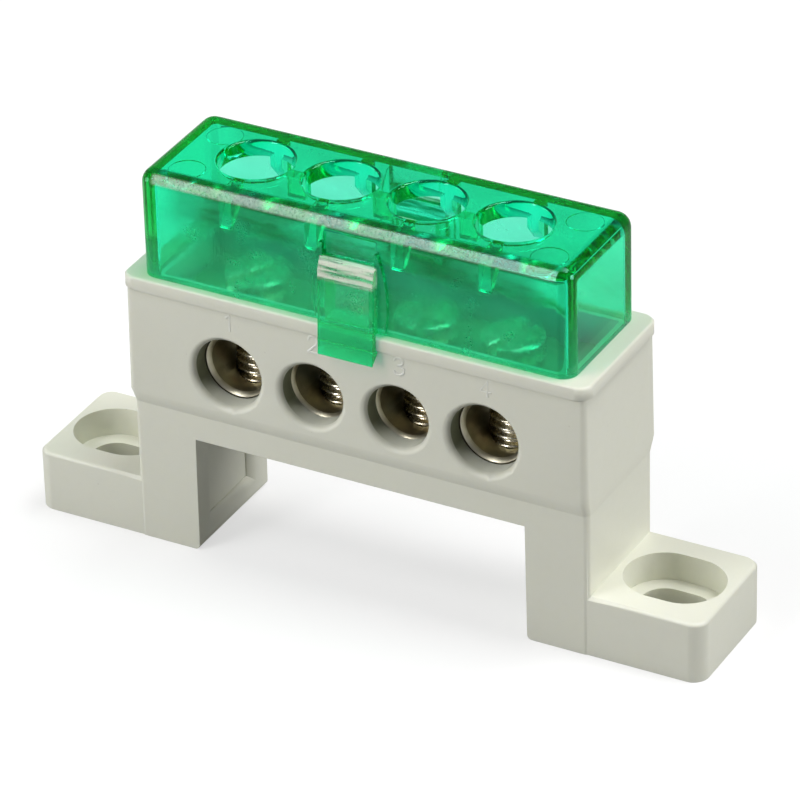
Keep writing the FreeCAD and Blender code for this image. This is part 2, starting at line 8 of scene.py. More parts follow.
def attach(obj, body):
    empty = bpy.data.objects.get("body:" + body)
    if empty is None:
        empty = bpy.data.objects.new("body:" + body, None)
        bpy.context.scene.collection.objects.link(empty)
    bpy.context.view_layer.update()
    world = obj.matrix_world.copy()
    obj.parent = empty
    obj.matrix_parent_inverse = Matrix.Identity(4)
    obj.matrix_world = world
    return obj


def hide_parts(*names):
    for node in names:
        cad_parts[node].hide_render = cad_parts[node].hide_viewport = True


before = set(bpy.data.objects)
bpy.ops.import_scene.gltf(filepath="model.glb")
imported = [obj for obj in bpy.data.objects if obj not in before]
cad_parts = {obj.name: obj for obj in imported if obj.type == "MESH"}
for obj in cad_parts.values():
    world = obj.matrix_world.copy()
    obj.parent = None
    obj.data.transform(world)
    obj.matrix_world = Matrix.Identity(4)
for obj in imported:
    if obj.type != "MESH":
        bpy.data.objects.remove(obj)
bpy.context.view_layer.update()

MM = 0.001

# Wire ways, counted from the left
WAY_PITCH = 10.3 * MM
WAYS = [(number - 1.5) * WAY_PITCH for number in range(4)]
SLOT_ANGLES = (62.0, 18.0, 104.0, 78.0)

# Heights and sizes of the clamp screws
SCREW_TIP = 19.55 * MM
SCREW_SHOULDER = 30.6 * MM
SCREW_TOP = 33.0 * MM
THREAD_PITCH = 1.0 * MM
THREAD_CREST = 3.0 * MM
THREAD_ROOT = 2.42 * MM
HEAD_RADIUS = 3.5 * MM
HEAD_ROUND = 0.35 * MM
HEAD_RELIEF = 0.9 * MM
TIP_CHAMFER = 0.7 * MM
SLOT_WIDTH = 1.1 * MM
SLOT_DEPTH = 1.3 * MM

# Raised numbers on the front face, drawn with a round stroke
NUMBER_HEIGHT = 1.95 * MM
NUMBER_SHIFT = 0.55 * MM
NUMBER_RISE = 30.45 * MM
NUMBER_FACE = -8.063 * MM
NUMBER_LEAN = 0.0138
NUMBER_STROKE = 0.22 * MM
NUMBER_STROKES = {
    1: [("POLY", [(-0.17, 0.30), (0.08, 0.50), (0.08, -0.50)])],
    2: [("NURBS", [(-0.28, 0.22), (-0.26, 0.46), (0.0, 0.55), (0.27, 0.44),
                   (0.28, 0.14), (0.05, -0.12), (-0.30, -0.50)]),
        ("POLY", [(-0.30, -0.50), (0.30, -0.50)])],
    3: [("NURBS", [(-0.27, 0.30), (-0.22, 0.50), (0.02, 0.54), (0.27, 0.42), (0.26, 0.12), (-0.06, 0.04)]),
        ("NURBS", [(-0.06, 0.04), (0.30, 0.02), (0.34, -0.36), (0.05, -0.55), (-0.24, -0.50), (-0.29, -0.28)])],
    4: [("POLY", [(0.12, -0.50), (0.12, 0.50), (-0.32, -0.20), (0.34, -0.20)])],
}

# Faces and bores of the terminal bar, and the lead cut at each bore, whose cone gets a painted highlight
BAR_FACE = 5.6 * MM
BORE_RISE = 23.8 * MM
BORE_RADIUS = 3.6 * MM
LEAD_FLANK = 4.04 * MM
LEAD_OUTER = 3.86 * MM
LEAD_INNER = 3.40 * MM
LEAD_DEPTH = 0.42 * MM
LEAD_PROUD = 0.14 * MM

# The line at the foot of the swollen box, which stays crisp
STEP_HEIGHT = 17.3 * MM

# Where the painted shade on the walls of the wire mouths fades, in millimetres; it thins towards their lit floor
MOUTH_REACH = (4.25, 4.35)
MOUTH_BACK = (7.50, 7.66)
MOUTH_ENDS = (20.4, 20.5)
MOUTH_FLOOR = (-3.5, -1.8)

# Where each look of the cover fades in or out, in millimetres
WALL_SIDE = (5.9, 6.3)
WALL_MIDDLE = (20.5, 23.0)
WALL_TOP = (43.2, 44.4)
CLOUD_TOP = (37.5, 42.5)
CROWN_FOOT = (44.85, 45.1)
CROWN_TOP = (45.80, 46.0)
CROWN_ENDS = (23.6, 24.3)
CROWN_FRONT = (-6.0, -5.5)
# The crown's roughness, grain and painted highlight weaken towards the right over this span
CROWN_RIGHT_FADE = (0.0, 24.0)
CLIP_SIDES = (3.3, 3.5)
SHOULDER_FACE = (7.7, 8.0)
SHOULDER_FOOT = (39.2, 39.8)
SHOULDER_TOP = (41.62, 41.70)
BLOCK_FACE = (8.0, 8.3)
BLOCK_TOP = (34.2, 34.7)
END_ROUND = (24.1, 24.5)
SIDE_ROUND = (6.0, 6.4)
ROOF_ROUND = (44.5, 44.9)
# Painted shade on the rounded edges strengthens towards the right end over this span
EDGE_SHADE_RIGHT = (23.0, 24.3)
# Painted shade on the upper walls: its foot, and its fade from front to rear
UPPER_SHADE_FOOT = (39.9, 42.4)
UPPER_SHADE_REAR = (-6.0, 6.0)
WEB_SIDES = (5.9, 6.1)
WEB_TOP = (44.2, 44.3)
WEB_ENDS = (23.5, 23.8)
BRIM_FOOT = (45.85, 46.0)

# Housing colours
CREAM_TONES = ((0.765, 0.772, 0.660), (0.790, 0.795, 0.690))
CREAM_FLECK = (0.70, 0.70, 0.585)
DUST_BROWN = (0.36, 0.33, 0.25)
# Pale cream painted on the raised numbers as their highlight
NUMBER_PAINTED_LIGHT = (0.88, 0.89, 0.82)
# Painted shade on the walls of the wire mouths, olive as from the brass they face
MOUTH_PAINTED_SHADE = (0.20, 0.215, 0.12)

# Cover colours: what its walls let through, mirror and send back, with painted shade and a painted highlight among
# them
COVER_TINT = (0.90, 1.0, 0.86)
COVER_SPECK = (0.25, 0.35, 0.30)
# Painted shade on the cover's rounded edges
COVER_PAINTED_EDGE_SHADE = (0.20, 0.54, 0.44)
# Painted shade in patches on the upper front and rear walls
COVER_PAINTED_UPPER_SHADE = (0.46, 0.23, 0.13)
COVER_BLOCK = (0.0, 1.0, 0.46)
COVER_MIRROR = (0.30, 0.84, 0.78)
COVER_HAZE = (0.10, 0.96, 0.38)
# Warm white painted highlight on the crown and the clips' shoulders
COVER_PAINTED_HIGHLIGHT = (0.86, 0.90, 0.76)
COVER_SHADOW = (0.84, 0.83, 0.82)
COVER_DYE = (0.0, 0.982, 0.870)
DYE_DENSITY = 1050.0

# Roughness of the cover where it isn't polished
COVER_MATT = {"crown": 0.24, "shoulder": 0.30, "block": 0.14, "webs": 0.16, "brim": 0.30}

# Refractive indices of the two plastics
HOUSING_INDEX = 1.53
COVER_INDEX = 1.57

# Edges turned more than this are square; gentler ones are chamfers, shaded as rounds
SQUARE_EDGE = math.radians(62.0)
FACET_EDGE = math.radians(4.0)
FLAT_EDGE = math.radians(0.4)
WELD_REACH = 0.0005 * MM
STEP_REACH = 0.02 * MM

# Camera fitted to the photo: its turn about the part, its lean, and its distance from the point that it looks at
CAMERA_AZIMUTH = math.radians(28.776)
CAMERA_ELEVATION = math.radians(31.164)
CAMERA_LEAN = math.radians(-1.464)
CAMERA_TARGET = (3.12, 0.0, 19.70)
CAMERA_DISTANCE = 619.756
CAMERA_LENS = 259.70
CAMERA_SHIFT = (-0.01976, 0.01507)

# Soft boxes: direction from the part, distance, width, height and radiance; then the room, the floor and the bounces
SOFT_BOXES = {
    "front_left_box": ((-0.412, -0.698, 0.586), 0.9, 0.144, 1.15, 9.6),
    "low_left_box": ((-0.86, -0.45, 0.24), 0.35, 0.20, 0.12, 3.2),
    "rear_right_box": ((0.90, 0.19, 0.33), 2.0, 0.9, 0.9, 7.3),
    "top_box": ((0.25, 0.20, 1.0), 1.2, 0.6, 0.6, 7.7),
}
ROOM_LIGHT = 0.14
FLOOR_LIT = (0.30, 0.30, 0.30)
FLOOR_SEEN = (0.42, 0.42, 0.42)
FLOOR_GLOW = 0.60
HORIZON = (0.22, 0.42)
MIRRORED_SHARE = 0.2
LIGHT_BOUNCES = 20


# Shader building

def wire(tree, source, target):
    tree.links.new(source, target)


def maths(tree, operation, first, second=None, third=None):
    """A Math node; its inputs are numbers or sockets."""
    node = tree.nodes.new("ShaderNodeMath")
    node.operation = operation
    for index, item in enumerate((first, second, third)):
        if item is None:
            continue
        if isinstance(item, (int, float)):
            node.inputs[index].default_value = item
        else:
            wire(tree, item, node.inputs[index])
    return node.outputs[0]


def blend_colours(tree, factor, first, second):
    """A colour Mix node; its factor and colours are numbers or sockets."""
    node = tree.nodes.new("ShaderNodeMix")
    node.data_type = "RGBA"
    for socket, item in ((node.inputs[0], factor), (node.inputs[6], first), (node.inputs[7], second)):
        if isinstance(item, bpy.types.NodeSocket):
            wire(tree, item, socket)
        elif isinstance(item, (int, float)):
            socket.default_value = item
        else:
            socket.default_value = (*item, 1.0)
    return node.outputs[2]


def product(tree, first, *others):
    """Masks and numbers multiplied one after the other."""
    for other in others:
        first = maths(tree, "MULTIPLY", first, other)
    return first


def highest(tree, first, *others):
    """The greatest of several masks."""
    for other in others:
        first = maths(tree, "MAXIMUM", first, other)
    return first


def ramp(tree, source, low, high, to_low=0.0, to_high=1.0):
    """A clamped Map Range node from low and high to two new values."""
    node = tree.nodes.new("ShaderNodeMapRange")
    node.clamp = True
    wire(tree, source, node.inputs[0])
    for index, number in enumerate((low, high, to_low, to_high), 1):
        node.inputs[index].default_value = number
    return node.outputs[0]


def fade(tree, place, span, to_low=1.0, to_high=0.0):
    """A ramp over a span in millimetres; it fades out unless told otherwise."""
    return ramp(tree, place, span[0] * MM, span[1] * MM, to_low, to_high)


def fade_in(tree, place, span):
    return fade(tree, place, span, 0.0, 1.0)


def noise(tree, place, scale, detail=2.0, roughness=0.5):
    node = tree.nodes.new("ShaderNodeTexNoise")
    wire(tree, place, node.inputs["Vector"])
    if isinstance(scale, (int, float)):
        node.inputs["Scale"].default_value = scale
    else:
        wire(tree, scale, node.inputs["Scale"])
    node.inputs["Detail"].default_value = detail
    node.inputs["Roughness"].default_value = roughness
    return node.outputs["Fac"]


def stretched_noise(tree, scale, detail=2.0, roughness=0.5):
    """Noise over the part with its own scale along X, Y and Z."""
    stretch = tree.nodes.new("ShaderNodeMapping")
    stretch.inputs["Scale"].default_value = scale
    wire(tree, object_place(tree), stretch.inputs["Vector"])
    return noise(tree, stretch.outputs[0], 1.0, detail, roughness)


def object_place(tree):
    return tree.nodes.new("ShaderNodeTexCoord").outputs["Object"]


def object_axes(tree):
    """X, Y and Z in the part's own frame."""
    split = tree.nodes.new("ShaderNodeSeparateXYZ")
    wire(tree, object_place(tree), split.inputs[0])
    return [split.outputs[axis] for axis in "XYZ"]


def new_group(name, inputs, outputs):
    """A shader node group; inputs are (name, kind, value) and outputs (name, kind)."""
    group = bpy.data.node_groups.new(name, "ShaderNodeTree")
    for label, kind, number in inputs:
        socket = group.interface.new_socket(label, in_out="INPUT", socket_type=f"NodeSocket{kind}")
        socket.default_value = number
    for label, kind in outputs:
        group.interface.new_socket(label, in_out="OUTPUT", socket_type=f"NodeSocket{kind}")
    return group, group.nodes.new("NodeGroupInput").outputs, group.nodes.new("NodeGroupOutput").inputs


def place_group(tree, group, **values):
    node = tree.nodes.new("ShaderNodeGroup")
    node.node_tree = group
    for key, number in values.items():
        socket = node.inputs[key.replace("_", " ")]
        if isinstance(number, bpy.types.NodeSocket):
            wire(tree, number, socket)
        else:
            socket.default_value = number
    return node.outputs


def build_mould_skin():
    """Eroded grain of a moulded face and the slow sink marks under it."""
    group, given, result = new_group(
        "mould_skin",
        [("Grain Size", "Float", 0.00025), ("Grain Depth", "Float", 1.0), ("Sink Depth", "Float", 1.0)],
        [("Height", "Float"), ("Fleck", "Float"), ("Cloud", "Float")],
    )
    place = object_place(group)
    density = maths(group, "DIVIDE", 1.0, given["Grain Size"])
    fine = noise(group, place, density, 3.0, 0.6)
    slow = noise(group, place, 140.0, 1.0)
    grain = maths(group, "MULTIPLY", fine, given["Grain Depth"])
    sink = maths(group, "MULTIPLY", slow, given["Sink Depth"])
    wire(group, maths(group, "ADD", grain, sink), result["Height"])
    wire(group, ramp(group, noise(group, place, 900.0, 2.0, 0.7), 0.45, 0.75), result["Fleck"])
    wire(group, noise(group, place, 70.0, 3.0), result["Cloud"])
    return group


def build_handling_dust():
    """Sparse dark specks and short faint scratches left by handling."""
    group, given, result = new_group(
        "handling_dust",
        [("Speck Size", "Float", 0.0007), ("Amount", "Float", 0.5)],
        [("Specks", "Float"), ("Scratches", "Float")],
    )
    place = object_place(group)
    cells = group.nodes.new("ShaderNodeTexVoronoi")
    wire(group, place, cells.inputs["Vector"])
    wire(group, maths(group, "DIVIDE", 1.0, given["Speck Size"]), cells.inputs["Scale"])
    chance = ramp(group, noise(group, place, 260.0, 1.0), 0.62, 0.7)
    dot = ramp(group, cells.outputs["Distance"], 0.05, 0.12, 1.0, 0.0)
    specks = maths(group, "MULTIPLY", maths(group, "MULTIPLY", dot, chance), given["Amount"])
    wire(group, specks, result["Specks"])
    stretch = group.nodes.new("ShaderNodeMapping")
    stretch.inputs["Rotation"].default_value = (0.3, 0.5, 0.9)
    stretch.inputs["Scale"].default_value = (150.0, 2600.0, 1500.0)
    wire(group, place, stretch.inputs["Vector"])
    lines = ramp(group, noise(group, stretch.outputs[0], 1.0, 1.0), 0.66, 0.74)
    wire(group, maths(group, "MULTIPLY", lines, given["Amount"]), result["Scratches"])
    return group


def build_tool_marks():
    """Fine lines that a cutting tool leaves round an axis, with tarnish between them."""
    group, given, result = new_group(
        "tool_marks",
        [("Line Spacing", "Float", 0.0001), ("Along", "Vector", (0.0, 0.0, 1.0))],
        [("Height", "Float"), ("Tarnish", "Float"), ("Fine", "Float")],
    )
    place = object_place(group)
    dot = group.nodes.new("ShaderNodeVectorMath")
    dot.operation = "DOT_PRODUCT"
    wire(group, place, dot.inputs[0])
    wire(group, given["Along"], dot.inputs[1])
    wobble = maths(group, "MULTIPLY", noise(group, place, 300.0, 1.0), 0.00012)
    run = maths(group, "ADD", dot.outputs["Value"], wobble)
    lines = group.nodes.new("ShaderNodeTexNoise")
    lines.noise_dimensions = "1D"
    wire(group, run, lines.inputs["W"])
    wire(group, maths(group, "DIVIDE", 1.0, given["Line Spacing"]), lines.inputs["Scale"])
    lines.inputs["Detail"].default_value = 2.0
    wire(group, lines.outputs["Fac"], result["Height"])
    wire(group, noise(group, place, 420.0, 3.0, 0.6), result["Tarnish"])
    wire(group, noise(group, place, 2600.0, 2.0, 0.6), result["Fine"])
    return group


MOULD_SKIN = build_mould_skin()
HANDLING_DUST = build_handling_dust()
TOOL_MARKS = build_tool_marks()


def new_material(name):
    material = bpy.data.materials.new(name)
    material.use_nodes = True
    tree = material.node_tree
    tree.nodes.clear()
    shader = tree.nodes.new("ShaderNodeBsdfPrincipled")
    output = tree.nodes.new("ShaderNodeOutputMaterial")
    wire(tree, shader.outputs[0], output.inputs["Surface"])
    return material, tree, shader, output


def add_bump(tree, shader, height, distance, strength=0.5):
    bump = tree.nodes.new("ShaderNodeBump")
    bump.inputs["Strength"].default_value = strength
    bump.inputs["Distance"].default_value = distance
    wire(tree, height, bump.inputs["Height"])
    wire(tree, bump.outputs[0], shader.inputs["Normal"])


def mouth_painted_shade(tree):
    """One on the walls of the wire mouths, between their rounded lips and the bar, where shade is painted; less
    towards their lit floor.
    """
    x, y, z = object_axes(tree)
    along = maths(tree, "FRACT", maths(tree, "ADD", maths(tree, "DIVIDE", x, WAY_PITCH), 10.0))
    across = product(tree, maths(tree, "SUBTRACT", along, 0.5), WAY_PITCH)
    up = maths(tree, "SUBTRACT", z, BORE_RISE)
    reach = maths(tree, "SQRT", maths(tree, "ADD", product(tree, across, across), product(tree, up, up)))
    inside = fade(tree, reach, MOUTH_REACH)
    behind = fade(tree, maths(tree, "ABSOLUTE", y), MOUTH_BACK)
    among = fade(tree, maths(tree, "ABSOLUTE", x), MOUTH_ENDS, 0.9, 0.0)
    upper = fade(tree, up, MOUTH_FLOOR, 0.12, 1.0)
    return product(tree, inside, behind, among, upper)


def make_housing_plastic(name, painted_light):
    """Satin off-white plastic; the second argument lifts its colour towards pale cream, a painted highlight for the
    raised numbers.
    """
    material, tree, shader, _ = new_material(name)
    skin = place_group(tree, MOULD_SKIN, Grain_Size=0.00022, Grain_Depth=0.35, Sink_Depth=1.0)
    dust = place_group(tree, HANDLING_DUST, Speck_Size=0.0011, Amount=0.6)
    warm = blend_colours(tree, skin["Cloud"], *CREAM_TONES)
    flecked = blend_colours(tree, product(tree, skin["Fleck"], 0.10), warm, CREAM_FLECK)
    specked = blend_colours(tree, product(tree, dust["Specks"], 0.35), flecked, DUST_BROWN)
    # Painted highlight: lifts the colour towards pale cream
    lit_colour = blend_colours(tree, painted_light, specked, NUMBER_PAINTED_LIGHT)
    # Painted shade on the walls of the wire mouths
    wire(tree, blend_colours(tree, mouth_painted_shade(tree), lit_colour, MOUTH_PAINTED_SHADE), shader.inputs["Base Color"])
    sheen = ramp(tree, skin["Fleck"], 0.0, 1.0, 0.40, 0.47)
    sheen = maths(tree, "SUBTRACT", sheen, product(tree, dust["Scratches"], 0.08))
    wire(tree, sheen, shader.inputs["Roughness"])
    shader.inputs["IOR"].default_value = HOUSING_INDEX
    shader.inputs["Subsurface Weight"].default_value = 0.12
    shader.inputs["Subsurface Radius"].default_value = (1.0, 0.9, 0.6)
    shader.inputs["Subsurface Scale"].default_value = 0.0008
    height = maths(tree, "ADD", skin["Height"], product(tree, dust["Scratches"], -0.25))
    add_bump(tree, shader, height, 0.00003)
    return material


def cover_zones(tree):
    """Masks by name, each one where the cover has that look.

    wall: the drawn front and rear walls; cloud: their cloudy lower part;
    painted upper shade: painted shade in patches over their upper part, stronger at the front; crown: the rounding
    over the front wall, where a highlight is painted;
    brim: the strip between the crown and the roof; painted edge shade: the rounded edges, where shade is painted,
    strongest at the right end;
    shoulder: the bend at the top of each clip; block: the solid foot of each clip;
    webs: the webs and gussets under the roof.
    """
    x, y, z = object_axes(tree)
    length, away = (maths(tree, "ABSOLUTE", place) for place in (x, y))
    side = fade_in(tree, away, WALL_SIDE)
    middle = fade(tree, length, WALL_MIDDLE, 1.0, 0.25)
    crown = product(tree, side, fade_in(tree, z, CROWN_FOOT), fade(tree, z, CROWN_TOP),
                    fade(tree, length, CROWN_ENDS), fade(tree, y, CROWN_FRONT, 1.0, 0.2),
                    fade(tree, x, CROWN_RIGHT_FADE, 1.0, 0.55))
    clip = fade(tree, length, CLIP_SIDES)
    shoulder = product(tree, clip, fade_in(tree, away, SHOULDER_FACE),
                       fade_in(tree, z, SHOULDER_FOOT), fade(tree, z, SHOULDER_TOP))

    # The rounds stand where two of the outer limits meet; shade is painted on them, strongest at the right end
    end = fade_in(tree, length, END_ROUND)
    beside = fade_in(tree, away, SIDE_ROUND)
    above = fade_in(tree, z, ROOF_ROUND)
    rounds = highest(tree, product(tree, end, beside), product(tree, end, above), product(tree, beside, above))
    patches = ramp(tree, stretched_noise(tree, (130.0, 130.0, 260.0), 1.0), 0.35, 0.60, 0.55, 1.0)
    # Painted shade in patches on the upper walls, stronger at the front than at the rear
    painted_upper_shade = product(tree, beside, middle, fade_in(tree, z, UPPER_SHADE_FOOT), fade(tree, y, UPPER_SHADE_REAR, 1.0, 0.4), patches)
    return {
        "wall": product(tree, side, middle, fade(tree, z, WALL_TOP)),
        "cloud": product(tree, side, fade(tree, z, CLOUD_TOP)),
        "painted_upper_shade": painted_upper_shade,
        "crown": crown,
        "brim": product(tree, beside, fade_in(tree, z, BRIM_FOOT)),
        "painted_edge_shade": product(tree, rounds, fade(tree, x, EDGE_SHADE_RIGHT, 0.45, 0.90)),
        "shoulder": shoulder,
        "block": product(tree, clip, fade_in(tree, away, BLOCK_FACE), fade(tree, z, BLOCK_TOP)),
        "webs": product(tree, fade(tree, away, WEB_SIDES), fade(tree, z, WEB_TOP), fade(tree, length, WEB_ENDS)),
    }


def cover_height(tree, zone, skin, coarse, patches):
    """Waves and upright drag marks on the walls, a fine grain on the rounding and the shoulders."""
    waves = noise(tree, object_place(tree), 420.0, 2.0, 0.5)
    drags = stretched_noise(tree, (2400.0, 900.0, 120.0), 3.0, 0.6)
    drawn = maths(tree, "ADD", product(tree, waves, 1.6), product(tree, drags, 0.40))
    sparkle = product(tree, zone["wall"], patches, 1.4)
    grainy = product(tree, coarse, highest(tree, zone["crown"], zone["shoulder"], sparkle))
    height = maths(tree, "ADD", product(tree, skin["Height"], 0.35), product(tree, drawn, zone["wall"]))
    return maths(tree, "ADD", height, product(tree, grainy, 0.3))


def cover_haze_and_highlight(tree, zone, coarse):
    """A diffuse veil, its share and its colour: green haze on the cloudy walls, and a warm white painted highlight
    on the crown and the clips' shoulders.
    """
    patchy = ramp(tree, stretched_noise(tree, (260.0, 260.0, 500.0), 3.0), 0.3, 0.7, 0.6, 1.2)
    haze = product(tree, zone["cloud"], patchy, 0.24)
    streaks = ramp(tree, stretched_noise(tree, (140.0, 2600.0, 2600.0), 2.0, 0.7), 0.40, 0.56)
    # Painted highlight in streaks along the clips' shoulders
    shoulder_highlight = product(tree, zone["shoulder"], ramp(tree, streaks, 0.0, 1.0, 0.10, 0.90))
    # Painted highlight in a grainy band along the crown
    grain = product(tree, zone["crown"], ramp(tree, coarse, 0.35, 0.65, 0.16, 0.44))
    # Where the veil is the white painted highlight instead of green haze
    painted_highlight = product(tree, highest(tree, zone["crown"], zone["shoulder"]), 4.0)
    painted_highlight = maths(tree, "MINIMUM", painted_highlight, 1.0)
    return highest(tree, haze, shoulder_highlight, grain), blend_colours(tree, painted_highlight, COVER_HAZE, COVER_PAINTED_HIGHLIGHT)


def mix_shaders(tree, share, first, second):
    mix = tree.nodes.new("ShaderNodeMixShader")
    for socket, item in zip(mix.inputs, (share, first, second)):
        wire(tree, item, socket)
    return mix.outputs[0]


def make_cover_plastic():
    """Clear green plastic: polished roof and ends, drawn walls, rough clips, painted shade on its edges and upper
    walls, a painted highlight on the crown and the clips' shoulders, and a dye in its depth.
    """
    material, tree, shader, output = new_material("cover_plastic")
    zone = cover_zones(tree)
    skin = place_group(tree, MOULD_SKIN, Grain_Size=0.0005, Grain_Depth=0.3, Sink_Depth=1.2)
    dust = place_group(tree, HANDLING_DUST, Speck_Size=0.0016, Amount=0.7)
    coarse = noise(tree, object_place(tree), 3200.0, 3.0, 0.7)
    patches = ramp(tree, noise(tree, object_place(tree), 260.0, 2.0), 0.45, 0.62)

    tint = blend_colours(tree, product(tree, dust["Specks"], 0.8), COVER_TINT, COVER_SPECK)
    # Painted shade on the rounded edges
    tint = blend_colours(tree, zone["painted_edge_shade"], tint, COVER_PAINTED_EDGE_SHADE)
    # Painted shade on the upper walls
    tint = blend_colours(tree, zone["painted_upper_shade"], tint, COVER_PAINTED_UPPER_SHADE)
    tint = blend_colours(tree, product(tree, zone["block"], 0.97), tint, COVER_BLOCK)
    wire(tree, tint, shader.inputs["Base Color"])

    matt = product(tree, zone["wall"], ramp(tree, patches, 0.0, 1.0, 0.14, 0.27))
    for name, roughness in COVER_MATT.items():
        matt = highest(tree, matt, product(tree, zone[name], roughness))
    matt = product(tree, matt, ramp(tree, coarse, 0.25, 0.75, 0.8, 1.2))
    polish = ramp(tree, skin["Fleck"], 0.0, 1.0, 0.02, 0.05)
    polish = maths(tree, "ADD", polish, product(tree, dust["Scratches"], 0.12))
    wire(tree, highest(tree, matt, polish), shader.inputs["Roughness"])
    shader.inputs["Transmission Weight"].default_value = 1.0
    shader.inputs["IOR"].default_value = COVER_INDEX
    shader.inputs["Specular Tint"].default_value = (*COVER_MIRROR, 1.0)
    add_bump(tree, shader, cover_height(tree, zone, skin, coarse, patches), 0.00008)

    # The veil, haze on the walls and a painted highlight on the crown and shoulders, lies over the clear plastic;
    # lamps shine through as if it were thin
    share, colour = cover_haze_and_highlight(tree, zone, coarse)
    veil = tree.nodes.new("ShaderNodeBsdfDiffuse")
    wire(tree, colour, veil.inputs["Color"])
    clear = tree.nodes.new("ShaderNodeBsdfTransparent")
    clear.inputs["Color"].default_value = (*COVER_SHADOW, 1.0)
    shadow = tree.nodes.new("ShaderNodeLightPath").outputs["Is Shadow Ray"]
    veiled = mix_shaders(tree, share, shader.outputs[0], veil.outputs[0])
    wire(tree, mix_shaders(tree, shadow, veiled, clear.outputs[0]), output.inputs["Surface"])
    dye = tree.nodes.new("ShaderNodeVolumeAbsorption")
    dye.inputs["Color"].default_value = (*COVER_DYE, 1.0)
    dye.inputs["Density"].default_value = DYE_DENSITY
    wire(tree, dye.outputs[0], output.inputs["Volume"])
    return material


def make_metal(name, spacing, along, tones, roughness, marks, stain=None, wear=None):
    """Cut metal with tool marks along an axis and two tones of tarnish.

    marks is the depth and strength of the tool marks, stain the colour of slow stains,
    and wear the share and colour of the bright scratches.
    """
    material, tree, shader, _ = new_material(name)
    lines = place_group(tree, TOOL_MARKS, Line_Spacing=spacing, Along=along)
    colour = blend_colours(tree, ramp(tree, lines["Tarnish"], 0.35, 0.7), *tones)
    if stain:
        slow = ramp(tree, noise(tree, object_place(tree), 230.0, 1.0), 0.45, 0.7)
        colour = blend_colours(tree, slow, colour, stain)
    if wear:
        share, bare = wear
        dust = place_group(tree, HANDLING_DUST, Amount=1.0)
        colour = blend_colours(tree, product(tree, dust["Scratches"], share), colour, bare)
    wire(tree, colour, shader.inputs["Base Color"])
    shader.inputs["Metallic"].default_value = 1.0
    wire(tree, ramp(tree, lines["Fine"], 0.3, 0.7, *roughness), shader.inputs["Roughness"])
    add_bump(tree, shader, lines["Height"], *marks)
    return material


HOUSING_PLASTIC = make_housing_plastic("housing_plastic", 0.0)
# A paler copy of the housing plastic for the raised numbers: painted highlight
NUMBER_LIT_PLASTIC = make_housing_plastic("number_plastic_painted_light", 0.6)
COVER_PLASTIC = make_cover_plastic()
BAR_METAL = make_metal(
    "bar_metal", 0.00008, (0.0, 1.0, 0.0), ((0.44, 0.41, 0.26), (0.36, 0.31, 0.20)), (0.40, 0.46), (0.000006, 0.5),
    stain=(0.31, 0.34, 0.27), wear=(0.3, (0.50, 0.46, 0.34)))
# A brighter copy of the bar's brass: painted highlight on the leads' cone
LEAD_HIGHLIGHT_METAL = make_metal(
    "lead_metal_painted_highlight", 0.00006, (0.0, 1.0, 0.0), ((0.74, 0.71, 0.58), (0.60, 0.55, 0.41)), (0.34, 0.40), (0.000006, 0.5))
SCREW_METAL = make_metal(
    "screw_metal", 0.00006, (0.0, 0.0, 1.0), ((0.74, 0.70, 0.58), (0.62, 0.54, 0.38)), (0.18, 0.32), (0.000015, 0.4),
    wear=(0.4, (0.85, 0.82, 0.74)))


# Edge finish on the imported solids

def node_maths(nodes, links, operation, first, second):
    """A comparison or sum in a geometry node group."""
    node = nodes.new("ShaderNodeMath")
    node.operation = operation
    for socket, item in zip(node.inputs, (first, second)):
        if isinstance(item, (int, float)):
            socket.default_value = item
        else:
            links.new(item, socket)
    return node.outputs[0]


def new_geometry_group(name):
    group = bpy.data.node_groups.new(name, "GeometryNodeTree")
    group.interface.new_socket("Geometry", in_out="INPUT", socket_type="NodeSocketGeometry")
    group.interface.new_socket("Geometry", in_out="OUTPUT", socket_type="NodeSocketGeometry")
    return group, group.nodes.new("NodeGroupInput").outputs[0], group.nodes.new("NodeGroupOutput").inputs[0]


def build_edge_marks():
    """Marks the square edges for rounding; the chamfers are left to be shaded as rounds."""
    group, given, result = new_geometry_group("edge_marks")
    nodes, links = group.nodes, group.links
    angle = nodes.new("GeometryNodeInputMeshEdgeAngle").outputs["Unsigned Angle"]
    square = node_maths(nodes, links, "GREATER_THAN", angle, SQUARE_EDGE)
    store = nodes.new("GeometryNodeStoreNamedAttribute")
    store.data_type = "FLOAT"
    store.domain = "EDGE"
    store.inputs["Name"].default_value = "bevel_weight_edge"
    links.new(given, store.inputs["Geometry"])
    links.new(square, store.inputs["Value"])
    links.new(store.outputs["Geometry"], result)
    return group


